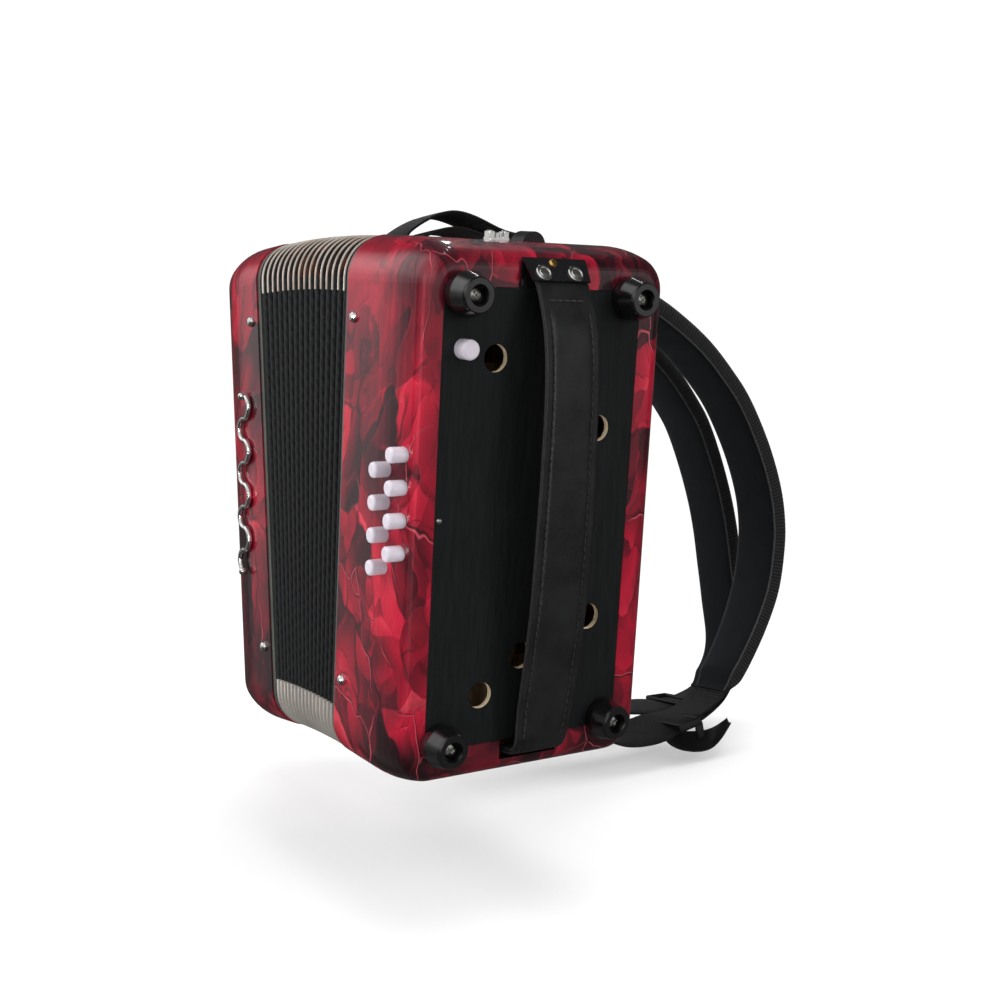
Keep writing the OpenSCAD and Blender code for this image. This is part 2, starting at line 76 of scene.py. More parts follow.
# ---------------------------------------------------------------- shared geometry, millimetres
ORIGIN_X, ORIGIN_Z = 49.5, 135.0      # working origin in the frame
FAN_ANGLE = 8.29                      # degrees between the two casings
HINGE_X, HINGE_Z = -65.0, -615.0      # line on which both casing planes meet
DEPTH, HEIGHT, CORNER_R = 154.0, 270.0, 22.0      # casing outline
ARC_Y, ARC_Z = DEPTH / 2 - CORNER_R, HEIGHT / 2 - CORNER_R      # centres of its corner arcs


def to_frame(x, y, z):
    """Working millimetres to frame metres."""
    return ((x + ORIGIN_X) / 1000, y / 1000, (z + ORIGIN_Z) / 1000)


def on_slice(share, x, y, z):
    """Point on a slice of the fan (share 0 bass, 1 treble), x measured from its plane."""
    a = math.radians(-FAN_ANGLE * share)
    c, s = math.cos(a), math.sin(a)
    up = z - HINGE_Z
    return to_frame(c * x + s * up + HINGE_X, y, -s * x + c * up + HINGE_Z)


def on_treble(x, y, z):
    return on_slice(1, x, y, z)


def ease(value, start, end):
    """Smooth step from 0 at start to 1 at end."""
    t = max(0.0, min(1.0, (value - start) / (end - start)))
    return t * t * (3 - 2 * t)


# ---------------------------------------------------------------- node helpers
class Value:
    """An output socket that can be added, multiplied and compared, making maths nodes."""

    def __init__(self, graph, socket):
        self.graph, self.socket = graph, socket

    def combine(self, operation, other):
        kind = "Math" if self.socket.type == "VALUE" else "VectorMath"
        return self.graph.node(kind, {0: self, 1: other}, operation=operation)

    def __add__(self, other):
        return self.combine("ADD", other)

    def __sub__(self, other):
        return self.combine("SUBTRACT", other)

    def __rsub__(self, other):
        return self.graph.math("SUBTRACT", other, self)

    def __mul__(self, other):
        if self.socket.type == "VALUE":
            return self.combine("MULTIPLY", other)
        return self.graph.node("VectorMath", {0: self, "Scale": other}, operation="SCALE")

    def __lt__(self, other):
        return self.graph.math("LESS_THAN", self, other)

    def __abs__(self):
        return self.graph.math("ABSOLUTE", self)

    def remap(self, start, end, at_start=0.0, at_end=1.0, smooth=False):
        inputs = {"Value": self, "From Min": start, "From Max": end,
                  "To Min": at_start, "To Max": at_end}
        return self.graph.node("MapRange", inputs,
                               interpolation_type="SMOOTHSTEP" if smooth else "LINEAR")


class Graph:
    """Builds a node tree. Inputs may be Values or constants."""

    def __init__(self, tree):
        self.tree = tree
        tree.nodes.clear()

    def link(self, value, socket):
        if isinstance(value, Value):
            self.tree.links.new(value.socket, socket)
        else:
            if socket.type == "RGBA" and len(value) == 3:
                value = (*value, 1)
            socket.default_value = value

    def new(self, kind, inputs=None, **props):
        node = self.tree.nodes.new("ShaderNode" + kind)
        for key, value in props.items():
            setattr(node, key, value)
        for key, value in (inputs or {}).items():
            self.link(value, node.inputs[key])
        return node

    def node(self, kind, inputs=None, out=0, **props):
        return Value(self, self.new(kind, inputs, **props).outputs[out])

    def math(self, operation, *values, clamp=False):
        return self.node("Math", dict(enumerate(values)), operation=operation, use_clamp=clamp)

    def split(self, vector):
        return [Value(self, out) for out in self.new("SeparateXYZ", {0: vector}).outputs]


SOCKETS = {"base": "Base Color", "rough": "Roughness", "metal": "Metallic", "normal": "Normal",
           "coat": "Coat Weight", "coat_rough": "Coat Roughness", "coat_normal": "Coat Normal",
           "sheen": "Sheen Weight", "sheen_rough": "Sheen Roughness", "sheen_tint": "Sheen Tint",
           "spec": "Specular IOR Level", "scatter": "Subsurface Weight",
           "scatter_radius": "Subsurface Radius", "scatter_scale": "Subsurface Scale",
           "alpha": "Alpha"}


class Mat(Graph):
    """A Principled material textured in object space."""

    def __init__(self, name):
        self.material = bpy.data.materials.new(name)
        self.material.use_nodes = True
        super().__init__(self.material.node_tree)
        output = self.new("OutputMaterial")
        self.surface = self.new("BsdfPrincipled")
        self.tree.links.new(self.surface.outputs[0], output.inputs[0])
        self.co = self.node("TexCoord", out="Object")

    def set(self, **values):
        for key, value in values.items():
            self.link(value, self.surface.inputs[SOCKETS[key]])

    def mapping(self, vector, scale, rot=(0, 0, 0)):
        return self.node("Mapping", {"Vector": vector, "Scale": scale, "Rotation": rot})

    def noise(self, scale, detail=4, rough=0.5, vector=None, out="Fac"):
        return self.node("TexNoise", {"Vector": vector or self.co, "Scale": scale,
                                      "Detail": detail, "Roughness": rough}, out=out)

    def wobble(self, scale, detail, rough, size, vector=None):
        """Small vector offsets for distorting texture coordinates."""
        colour = self.noise(scale, detail, rough, vector, out="Color")
        return (colour - (0.5, 0.5, 0.5)) * size

    def voronoi(self, scale, vector, feature="F1"):
        return self.node("TexVoronoi", {"Vector": vector, "Scale": scale}, feature=feature)

    def smudge(self, low, high, scale=35, detail=5, rough=0.6):
        """A value that drifts between low and high, as on handled surfaces."""
        return self.noise(scale, detail, rough).remap(0.3, 0.7, low, high)

    def ramp(self, value, stops):
        node = self.new("ValToRGB", {0: value})
        elements = node.color_ramp.elements
        elements.remove(elements[-1])
        elements[0].position, elements[0].color = stops[0][0], (*stops[0][1], 1)
        for position, colour in stops[1:]:
            elements.new(position).color = (*colour, 1)
        return Value(self, node.outputs[0])

    def mix(self, factor, first, second):
        return self.node("Mix", {0: factor, 6: first, 7: second}, out=2, data_type="RGBA")

    def bump(self, height, strength, distance):
        return self.node("Bump", {"Height": height, "Strength": strength,
                                  "Distance": distance})


def tint(colour, factor):
    return tuple(c * factor for c in colour)


# ---------------------------------------------------------------- materials
TURN = 6.2832      # one sine period


def pearl_flakes(m, scale, vector, softness):
    """One size of flake: its shading slope, its random colour and the distance to its edge."""
    node = m.new("TexVoronoi", {"Vector": vector, "Scale": scale, "Smoothness": softness},
                 feature="SMOOTH_F1")
    colour, centre = (Value(m, node.outputs[name]) for name in ("Color", "Position"))
    across = (vector - centre) * (scale * 2.0)
    slope = m.node("VectorMath", {0: across, 1: colour - (0.5, 0.5, 0.5)}, out=1,
                   operation="DOT_PRODUCT")
    return slope, colour, m.voronoi(scale, vector, "DISTANCE_TO_EDGE")


def pearl(name, bass=False):
    """Marbled red pearl sheet: soft overlapping flakes, dark to bright, under a clear gloss."""
    m = Mat(name)
    base = m.mapping(m.co, scale=(1, 1, 0.62), rot=(0.30, 0.12, 0.2))
    warped = base + m.wobble(13, 2, 0.45, 0.062, base) + m.wobble(48, 2, 0.5, 0.017, base)
    slope1, colour1, edge1 = pearl_flakes(m, 36, warped, 0.05)
    slope2, colour2, edge2 = pearl_flakes(m, 84, warped + (0.31, 0.17, 0.05), 0.08)

    # brightness: slope and tone of both flake sizes, broad clouds, fine streaks
    bright = slope1 * 0.50 + slope2 * 0.22
    bright = bright + (m.split(colour1)[0] - 0.5) * 0.46
    bright = bright + (m.split(colour2)[1] - 0.5) * 0.16
    bright = bright + m.noise(11, 3, 0.55, base).remap(0.34, 0.64, 0.25, 0.66)
    streak = m.noise(120, 4, 0.6, m.mapping(warped, scale=(1, 1, 0.30), rot=(0.4, 0, 0)))
    bright = m.math("ADD", bright, streak.remap(0.3, 0.7, -0.06, 0.06), clamp=True)
    colour = m.ramp(bright, [
        (0.0, (0.018, 0.0006, 0.003)), (0.20, (0.050, 0.001, 0.007)),
        (0.38, (0.150, 0.0016, 0.013)), (0.56, (0.320, 0.0028, 0.022)),
        (0.74, (0.520, 0.005, 0.032)), (0.90, (0.700, 0.014, 0.050)),
        (1.0, (0.80, 0.05, 0.085))])

    # dark flake edges, in patches
    patches1 = m.noise(33, 2, 0.5, base).remap(0.50, 0.58, 0, 0.75)
    dark1 = edge1.remap(0.0, 0.050, 1, 0, smooth=True) * patches1
    patches2 = m.noise(47, 2, 0.5, base).remap(0.54, 0.62, 0, 0.60)
    dark2 = edge2.remap(0.0, 0.05, 1, 0, smooth=True) * patches2

    # fine creases: a dark line with a painted highlight lip on one side
    line_co = m.mapping(warped, scale=(1, 1, 0.8)) + (0.13, 0.4, 0.9)
    line = m.voronoi(30.0, line_co, "DISTANCE_TO_EDGE")
    painted_highlight_line = m.voronoi(30.0, line_co + (0.00050, 0.00035, 0.00020), "DISTANCE_TO_EDGE")
    some = m.noise(26, 2, 0.5, base + (3, 1, 2)).remap(0.47, 0.55)
    crease = line.remap(0.004, 0.013, 1, 0, smooth=True) * some
    # bright line along one side of each crease: a painted highlight
    painted_highlight_lip = painted_highlight_line.remap(0.004, 0.014, 1, 0, smooth=True) * some
    # greyish hazy patches over the flakes: a painted reflection haze on the gloss
    painted_reflection_veil = m.noise(24, 4, 0.6, warped + (0.7, 0.2, 0.4)).remap(0.53, 0.66) * 0.58
    for amount, layer in ((painted_reflection_veil, (0.062, 0.010, 0.016)), (dark1, (0.030, 0.0008, 0.006)),
                          (dark2, (0.042, 0.001, 0.007)), (painted_highlight_lip * 0.75, (0.85, 0.11, 0.16)),
                          (crease * 0.88, (0.020, 0.0006, 0.004))):
        colour = m.mix(amount, colour, layer)

    coat, metal = 1.0, 0.35
    if bass:
        # bare plywood inside the casing; the walls of the strap's notch are painted near black,
        # a painted shade in that recess
        x, y, z = m.split(m.co)
        past_y = m.math("MAXIMUM", abs(y) - ARC_Y / 1000, 0.0)
        past_z = m.math("MAXIMUM", abs(z - ORIGIN_Z / 1000) - ARC_Z / 1000, 0.0)
        reach = m.math("SQRT", past_y * past_y + past_z * past_z)
        inside = (reach < 0.0188) * (x < 0.030)
        facing_x = abs(m.split(m.node("NewGeometry", out="Normal"))[0])
        # near-black notch walls: painted shade in the recess
        notch_painted_shade = (abs(z - 0.0170) < 0.0058) * (abs(y) < 0.0205) * (facing_x < 0.5)
        colour = m.mix(inside, colour, (0.42, 0.28, 0.14))
        colour = m.mix(notch_painted_shade, colour, (0.006, 0.005, 0.005))
        coat = 1.0 - m.math("MAXIMUM", inside, notch_painted_shade)
        metal = coat * 0.35
    m.set(base=colour, rough=m.smudge(0.34, 0.46), metal=metal, spec=0.4,
          normal=m.bump(slope1 * 0.7 + slope2 * 0.35, strength=0.14, distance=0.004),
          coat=coat, coat_rough=m.smudge(0.02, 0.06, 20),
          coat_normal=m.bump(m.noise(55, 2, 0.4), strength=0.03, distance=0.0006))
    return m.material


def plain(name, base, rough, rough_spread=0.06, metal=0.0, coat=0.0, coat_rough=0.05,
          mottle=0.25, mottle_scale=40, grain_scale=300, grain=0.1, sheen=0, scatter=0):
    """One colour with slight mottling and a fine grain."""
    m = Mat(name)
    blotches = m.noise(mottle_scale, 5, 0.6).remap(0.3, 0.7)
    m.set(base=m.mix(blotches, tint(base, 1 - mottle), tint(base, 1 + mottle * 0.7)),
          rough=m.smudge(rough - rough_spread, rough + rough_spread, mottle_scale * 1.7,
                         rough=0.65),
          metal=metal, coat=coat, coat_rough=coat_rough, sheen=sheen,
          normal=m.bump(m.noise(grain_scale, 4, 0.6), strength=grain, distance=0.0003))
    if scatter:
        m.set(scatter=scatter, scatter_radius=(0.6, 0.5, 0.4), scatter_scale=0.002)
    return m.material


def panel():
    """Black end panel with faint grain and specks."""
    m = Mat("black_panel")
    grain = m.noise(90, 6, 0.7, m.mapping(m.co, scale=(1, 9, 0.5)))
    fine = m.noise(900, 3, 0.6, m.mapping(m.co, scale=(1, 1, 0.25)))
    colour = m.mix(grain.remap(0.3, 0.7), (0.0045, 0.005, 0.0055), (0.012, 0.013, 0.0135))
    specks = m.noise(1400, 2, 0.5).remap(0.70, 0.78, 0, 0.5)
    colour = m.mix(specks, colour, (0.03, 0.03, 0.032))
    # bare plywood shows on the walls of the holes, under a thin black skin
    skin = m.split(m.co)[0].remap((ORIGIN_X - 0.32) / 1000, (ORIGIN_X - 0.22) / 1000)
    layers = m.node("TexWave", {"Vector": m.mapping(m.co, scale=(1, 0.05, 0.05)),
                                "Scale": 240.0, "Distortion": 1.5, "Detail": 3.0}, out=1)
    plywood = m.ramp(layers, [(0, (0.52, 0.38, 0.22)), (0.5, (0.74, 0.60, 0.40)),
                              (1, (0.82, 0.70, 0.50))])
    m.set(base=m.mix(skin, plywood, colour), rough=grain.remap(0.3, 0.7, 0.40, 0.56),
          normal=m.bump(grain * 0.5 + fine * 0.6, strength=0.22, distance=0.0005), spec=0.22)
    return m.material


def leather():
    """Black leather: pebbled cells and pores with soft creases."""
    m = Mat("leather")
    base, cell_scale = (0.008, 0.0082, 0.0088), 1500
    warped = m.co + m.wobble(700, 2, 0.5, 0.0006)
    cells = m.voronoi(cell_scale, warped)
    pores = m.voronoi(cell_scale * 0.45, warped)
    creases = m.noise(120, 4, 0.6, m.mapping(m.co, scale=(1, 0.7, 2.2)))
    height = cells * 0.8 + pores * 0.4 + creases * 0.9
    m.set(base=m.mix(m.noise(60, 4, 0.6).remap(0.35, 0.7), base, tint(base, 1.9)),
          rough=m.smudge(0.34 - 0.05, 0.34 + 0.10, 45, 4), coat=0.10, coat_rough=0.20,
          normal=m.bump(height, strength=0.28, distance=0.0004), spec=0.30)
    return m.material


def ribbon_co(m):
    """Metres along and across a surface, stored on the mesh."""
    return m.node("Attribute", out="Vector", attribute_type="GEOMETRY", attribute_name="ruv")


def cloth():
    """Bellows cloth: black, with a faint slanting weave laid out round the fold."""
    m = Mat("bellows_cloth")
    around, across, _ = m.split(ribbon_co(m))
    drift = (m.noise(60, 2, 0.5) - 0.5) * 0.004
    # two slanting thread directions: 6.8 mm and 1.7 mm apart
    coarse = m.math("SINE", (around + drift + across * 1.7) * (TURN / 0.0068))
    fine = m.math("SINE", (around - across * 1.2) * (TURN / 0.0017))
    fuzz = m.noise(900, 4, 0.65)
    height = coarse * 0.26 + fine * 0.14 + fuzz * 0.8
    colour = m.mix(height.remap(0.05, 0.85), (0.0048, 0.0052, 0.0058),
                   (0.019, 0.0205, 0.0225))
    wear = m.noise(1100, 2, 0.5).remap(0.68, 0.76, 0, 0.4)
    m.set(base=m.mix(wear, colour, (0.045, 0.047, 0.050)),
          rough=fuzz.remap(0.3, 0.7, 0.42, 0.60), sheen=0.04, sheen_rough=0.4, spec=0.36,
          normal=m.bump(height, strength=0.55, distance=0.0007))
    return m.material


def woven(name, base, ribs, threads, strength):
    """Woven band: ribs per metre along its length, threads per metre over its width."""
    m = Mat(name)
    along, over, _ = m.split(ribbon_co(m) + m.wobble(400, 3, 0.6, 0.0005))
    row_shift = m.math("FLOOR", over * threads) * 1.7
    rib = m.math("SINE", along * (TURN * ribs) + row_shift)
    thread = m.math("SINE", over * (TURN * threads))
    fuzz = m.noise(900, 4, 0.65)
    height = (rib + 1.0) * 0.32 + (abs(thread) * 0.30 + fuzz * 0.35)
    colour = m.mix(height.remap(0.25, 1.05), tint(base, 0.45), tint(base, 1.9))
    lint = m.noise(2600, 1, 0.5).remap(0.70, 0.76, 0, 0.5)
    m.set(base=m.mix(lint, colour, tint(base, 3.5)),
          rough=fuzz.remap(0.3, 0.7, 0.62, 0.85), sheen=0.10, sheen_rough=0.35, spec=0.20,
          normal=m.bump(height, strength=strength, distance=0.0006))
    return m.material


def plush():
    """Black pile with pale lint."""
    m = Mat("plush")
    pile = m.noise(1900, 4, 0.7)
    colour = m.mix(pile.remap(0.35, 0.7), (0.0035, 0.004, 0.0045), (0.014, 0.016, 0.018))
    patches = m.noise(120, 4, 0.6).remap(0.45, 0.75, 0, 0.5)
    colour = m.mix(patches, colour, (0.011, 0.013, 0.016))
    lint = m.noise(2600, 1, 0.5).remap(0.73, 0.78, 0, 0.7)
    m.set(base=m.mix(lint, colour, (0.07, 0.075, 0.08)), rough=0.92, spec=0.12,
          normal=m.bump(pile, strength=0.8, distance=0.0008),
          sheen=0.16, sheen_rough=0.30, sheen_tint=(0.55, 0.62, 0.7))
    return m.material


def corner_metal():
    """Silvery metal: browner where tarnished on the upper corners, lighter on the lower corners
    as a painted reflection of the pale floor.
    """
    m = Mat("corner_metal")
    upper = m.split(m.co)[2].remap(0.12, 0.16)
    tarnish = m.noise(45, 5, 0.65).remap(0.35, 0.70)
    high = m.mix(tarnish, (0.56, 0.52, 0.47), (0.36, 0.28, 0.22))
    # lighter colours on the lower corners: a painted reflection of the floor, with tarnish
    # patches
    low = m.mix(tarnish, (0.62, 0.58, 0.53), (0.48, 0.45, 0.41))
    m.set(base=m.mix(upper, low, high), metal=0.55, rough=m.smudge(0.26, 0.42, 90, 4),
          normal=m.bump(m.noise(500, 4, 0.6), strength=0.06, distance=0.0003))
    return m.material


def gusset():
    """Leather of the corner folds, black with brown and dark red patches."""
    m = Mat("gusset_leather")
    colour = m.ramp(m.noise(60, 4, 0.6), [
        (0.30, (0.007, 0.005, 0.005)), (0.50, (0.014, 0.008, 0.007)),
        (0.60, (0.070, 0.024, 0.012)), (0.72, (0.050, 0.006, 0.007))])
    m.set(base=colour, rough=0.6, spec=0.25,
          normal=m.bump(m.noise(900, 3, 0.6), strength=0.3, distance=0.0004))
    return m.material


def wood():
    """Bare wood, grain running along z."""
    m = Mat("bare_wood")
    rings = m.node("TexWave", {"Vector": m.mapping(m.co, scale=(1, 1, 0.12)), "Scale": 60.0,
                               "Distortion": 9.0, "Detail": 4.0, "Detail Scale": 1.6}, out=1)
    fibre = m.noise(900, 4, 0.65, m.mapping(m.co, scale=(1, 1, 0.06)))
    colour = m.ramp(rings * 0.6 + fibre * 0.4, [
        (0.1, (0.36, 0.22, 0.10)), (0.5, (0.58, 0.40, 0.21)), (0.9, (0.72, 0.54, 0.32))])
    m.set(base=colour, rough=fibre.remap(0.3, 0.7, 0.5, 0.7),
          normal=m.bump(fibre, strength=0.25, distance=0.0004))
    return m.material


MATS = {
    "pearl": pearl("red_pearl"),
    "pearl_bass": pearl("red_pearl_bass", bass=True),
    "panel": panel(),
    "leather": leather(),
    "cloth": cloth(),
    "corner": corner_metal(),
    "gusset": gusset(),
    "plush": plush(),
    "webbing": woven("strap_webbing", (0.0048, 0.0050, 0.0057), ribs=720, threads=560,
                     strength=0.7),
    "ribbed": woven("ribbed_mesh", (0.0105, 0.0105, 0.0112), ribs=420, threads=260,
                    strength=1.0),
    "wood": wood(),
    "frame": plain("frame_lacquer", (0.075, 0.080, 0.072), rough=0.34, rough_spread=0.08,
                   coat=0.3, coat_rough=0.15, grain_scale=240, grain=0.15),
    "rubber": plain("foot_rubber", (0.0038, 0.0038, 0.0044), rough=0.22, coat=1.0,
                    coat_rough=0.10, mottle=0.4, grain_scale=500, grain=0.08),
    "steel": plain("screw_steel", (0.62, 0.61, 0.58), rough=0.24, metal=1, mottle=0.2,
                   grain_scale=900, grain=0.12),
    "chrome": plain("polished_chrome", (0.83, 0.82, 0.80), rough=0.09, rough_spread=0.05,
                    metal=1, mottle=0.08, grain=0.03),
    "brass": plain("screw_brass", (0.80, 0.50, 0.16), rough=0.25, metal=1, mottle=0.2,
                   grain_scale=900),
    "blackmetal": plain("black_enamel", (0.006, 0.006, 0.007), rough=0.26, coat=0.6,
                        coat_rough=0.10, mottle=0.3, grain_scale=700, grain=0.06),
    "white": plain("button_white", (0.66, 0.61, 0.68), rough=0.24, rough_spread=0.05,
                   coat=0.5, coat_rough=0.08, mottle=0.05, mottle_scale=120,
                   grain_scale=200, grain=0.03, scatter=0.15),
    "ivory": plain("key_white", (0.86, 0.85, 0.81), rough=0.16, rough_spread=0.05,
                   coat=0.6, coat_rough=0.06, mottle=0.03, mottle_scale=30,
                   grain_scale=120, grain=0.03, scatter=0.1),
    "ebony": plain("key_black", (0.006, 0.006, 0.0065), rough=0.14, rough_spread=0.05,
                   coat=0.7, mottle=0.3, grain_scale=160, grain=0.03),
    "plastic": plain("slider_plastic", (0.0045, 0.0045, 0.0052), rough=0.42,
                     rough_spread=0.07, mottle=0.3, grain_scale=900, grain=0.15),
    "piping": plain("seam_piping", (0.022, 0.023, 0.025), rough=0.6, mottle=0.4,
                    mottle_scale=600, grain_scale=2500, grain=0.5, sheen=0.3),
    "thread": plain("black_thread", (0.014, 0.014, 0.015), rough=0.42, mottle=0.3,
                    mottle_scale=900, grain_scale=4000, grain=0.5, sheen=0.2),
    "edge": plain("leather_edge", (0.020, 0.019, 0.019), rough=0.55, mottle=0.5,
                  mottle_scale=300, grain_scale=1200, grain=0.5),
}

# ---------------------------------------------------------------- materials of the CAD pieces
PIECES = {
    "pearl": "treble_casing keyboard_frame",
    "pearl_bass": "bass_casing",
    "panel": "bass_end_panel",
    "wood": "treble_reed_board bass_reed_block",
    "frame": "treble_bellows_frame bass_bellows_frame",
    "chrome": "treble_bellows_pins bass_bellows_pins strap_rivets strap_brackets "
              "closure_stud ornament",
    "steel": "key_axle foot_screws",
    "rubber": "rubber_feet",
    "blackmetal": "strap_plate",
    "leather": "closure_tab hand_strap",
    "plush": "shoulder_straps",
    "plastic": "strap_sliders",
    "white": "air_button " + " ".join("bass_button_%d" % k for k in range(1, 9)),
    "cloth": " ".join("bellows_fold_%d" % k for k in range(1, 8)),
}
KEYS = 22
BLACK_NOTES = (1, 3, 6, 8, 10)      # semitones above C
FIRST_NOTE = 5                      # the first key is an F


def paint(node_name, material):
    obj = NODES[node_name]
    obj.data.materials.clear()
    obj.data.materials.append(MATS[material])
    return obj


for material, names in PIECES.items():
    for node_name in names.split():
        paint(node_name, material)

# the rivets near y = -2 mm are brass
rivets = NODES["strap_rivets"]
rivets.data.materials.append(MATS["brass"])
for face in rivets.data.polygons:
    if abs(face.center.y + 0.002) < 0.0031:
        face.material_index = 1

for i in range(KEYS):
    black = (i + FIRST_NOTE) % 12 in BLACK_NOTES
    key = paint("key_%02d" % (i + 1), "ebony" if black else "ivory")
    bevel = key.modifiers.new("Bevel", "BEVEL")
    bevel.width, bevel.segments = 0.0006, 3
    bevel.limit_method, bevel.angle_limit = "ANGLE", math.radians(40)


# ---------------------------------------------------------------- mesh helpers
def mesh(name, verts, faces, mats, face_mats=None, smooth=True, sharp=None):
    """New object; sharp is the angle in degrees past which shading breaks."""
    data = bpy.data.meshes.new(name)
    data.from_pydata([tuple(v) for v in verts], [], [tuple(f) for f in faces])
    for key in mats:
        data.materials.append(MATS[key])
    if face_mats is not None:
        data.polygons.foreach_set("material_index", face_mats)
    data.polygons.foreach_set("use_smooth", [smooth] * len(data.polygons))
    data.update()
    obj = bpy.data.objects.new(name, data)
    bpy.context.scene.collection.objects.link(obj)
    if sharp:
        data.set_sharp_from_angle(angle=math.radians(sharp))
    return obj


def store_ribbon_co(obj, values):
    attribute = obj.data.attributes.new("ruv", "FLOAT_VECTOR", "POINT")
    attribute.data.foreach_set("vector", np.array(values, np.float32).ravel())


def fasten(obj, body):
    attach(obj, body)


def ring_quads(base, rings, n):
    """Quads joining rings of n vertices, the first vertex being number base."""
    return [(base + i * n + k, base + i * n + (k + 1) % n,
             base + (i + 1) * n + (k + 1) % n, base + (i + 1) * n + k)
            for i in range(rings - 1) for k in range(n)]


def tube_faces(base, rings, n):
    """Quads round a tube and its two end caps."""
    last = base + (rings - 1) * n
    return ring_quads(base, rings, n) + [tuple(base + k for k in reversed(range(n))),
                                         tuple(last + k for k in range(n))]


# ---------------------------------------------------------------- bellows: 8 sections of 2 folds
SECTIONS = 8
LIP = 3.0                     # how far the skin tucks into each casing
RIDGE_R = CORNER_R - 1.2      # corner radius of the ridges, 1.2 mm inside the casings
ARC_STEPS, SIDE_STEPS = 12, 16
FOLD_CLOTH = 0.0105           # metres of weave coordinate per fold
# fold cross-section: (share of the fold, depth below the ridge)
FOLD_PROFILE = [(0.0, 17.0), (0.17, 8.0), (0.27, 1.6), (0.33, 0.5), (0.42, 0.08), (0.5, 0.0),
                (0.58, 0.08), (0.67, 0.5), (0.73, 1.6), (0.83, 8.0), (1.0, 17.0)]
# corner cap cross-sections, same columns: slim for the top corners, broad for the bottom
SLIM_CAP = [(0.36, 2.9), (0.37, 0.8), (0.43, -0.36), (0.5, -0.62), (0.57, -0.36),
            (0.63, 0.8), (0.64, 2.9)]
BROAD_CAP = [(0.27, 2.0), (0.30, 0.4), (0.40, -0.45), (0.5, -0.62), (0.60, -0.45),
             (0.70, 0.4), (0.73, 2.0)]
CAP_REACH = {1: 6.5, -1: 7.0}      # cap length past the rounded corner, top and bottom
# corners: (side in y, side in z, start angle of the arc)
CORNERS = ((1, 1, 0), (-1, 1, 90), (-1, -1, 180), (1, -1, 270))


def corner_point(side_y, side_z, degrees, slide=0.0):
    """(y, z, normal y, normal z) on a corner arc, slid along its tangent."""
    a = math.radians(degrees)
    ny, nz = math.cos(a), math.sin(a)
    return (side_y * ARC_Y + RIDGE_R * ny - nz * slide,
            side_z * ARC_Z + RIDGE_R * nz + ny * slide, ny, nz)


def corner_arc(side_y, side_z, start):
    return [corner_point(side_y, side_z, start + 90 * k / ARC_STEPS)
            for k in range(ARC_STEPS + 1)]


def ridge_outline():
    """Rounded rectangle of the ridges, as (y, z, normal y, normal z)."""
    points = []
    for i, corner in enumerate(CORNERS):
        points += corner_arc(*corner)
        y, z, ny, nz = points[-1]
        next_y, next_z = corner_point(*CORNERS[(i + 1) % 4])[:2]
        for k in range(1, SIDE_STEPS):
            t = k / SIDE_STEPS
            points.append((y + (next_y - y) * t, z + (next_z - z) * t, ny, nz))
    return points


def under_cap(point):
    y, z = point[:2]
    reach = CAP_REACH[1 if z > 0 else -1] - 0.4
    return abs(z) > ARC_Z - reach and abs(y) > ARC_Y - reach


OUTLINE = ridge_outline()
RING = len(OUTLINE)
OUTLINE_RUN = np.r_[0, np.cumsum([math.dist(OUTLINE[k][:2], OUTLINE[k + 1][:2])
                                  for k in range(RING - 1)])] / 1000
IN_GUSSET = [int(under_cap(OUTLINE[k]) and under_cap(OUTLINE[(k + 1) % RING]))
             for k in range(RING)]


def on_bellows(section, share, point, depth):
    """A point of the ridge outline, sunk by depth, at a share of the section."""
    f = (section + share) / SECTIONS
    y, z, ny, nz = point
    return on_slice(f, -LIP * (1 - 2 * f), y - ny * depth, z - nz * depth)


def skin(section):
    rings = [((fold + u) / 2, depth) for fold in range(2)
             for u, depth in FOLD_PROFILE[fold:]]      # the folds share their valley ring
    verts, shares, ribbon_values = [], [], []
    for share, depth in rings:
        for point, run in zip(OUTLINE, OUTLINE_RUN):
            verts.append(on_bellows(section, share, point, depth))
            shares.append(share)
            ribbon_values.append((run, (section * 2 + share * 2) * FOLD_CLOTH, 0))
    obj = mesh("bellows_skin_%d" % (section + 1), verts, ring_quads(0, len(rings), RING),
               ["cloth", "gusset"], IN_GUSSET * (len(rings) - 1), sharp=50)
    store_ribbon_co(obj, ribbon_values)
    return obj, shares


def corner_caps(section):
    """Metal protectors: one cap over each ridge, round each of the four corners."""
    verts, faces, shares = [], [], []
    for side_y, side_z, start in CORNERS:
        profile = SLIM_CAP if side_z > 0 else BROAD_CAP
        reach = CAP_REACH[side_z]
        path = [corner_point(side_y, side_z, start, s) for s in (-reach, -reach * 0.5)]
        path += corner_arc(side_y, side_z, start)
        path += [corner_point(side_y, side_z, start + 90, s) for s in (reach * 0.5, reach)]
        m = len(profile)
        for fold in range(2):
            base = len(verts)
            for point in path:
                for u, depth in profile:
                    share = (fold + u) / 2
                    verts.append(on_bellows(section, share, point, depth))
                    shares.append(share)
            for k in range(len(path) - 1):
                for q in range(m - 1):
                    v = base + k * m + q
                    faces.append((v, v + 1, v + m + 1, v + m))
            for k in (0, len(path) - 1):
                faces.append(tuple(base + k * m + q for q in range(m)))
    return mesh("bellows_corner_caps_%d" % (section + 1), verts, faces, ["corner"],
                sharp=60), shares


for j in range(SECTIONS):
    skin_obj, skin_shares = skin(j)
    caps_obj, caps_shares = corner_caps(j)
    for obj, shares in ((skin_obj, skin_shares), (caps_obj, caps_shares)):
        on_slice(j / SECTIONS, 0, 0, 0)
        on_slice((j + 1) / SECTIONS, 0, 0, 0)
        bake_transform(obj)
        np.array(shares, np.float32)
    if j > 0:
        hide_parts("bellows_fold_%d" % (8 - j))


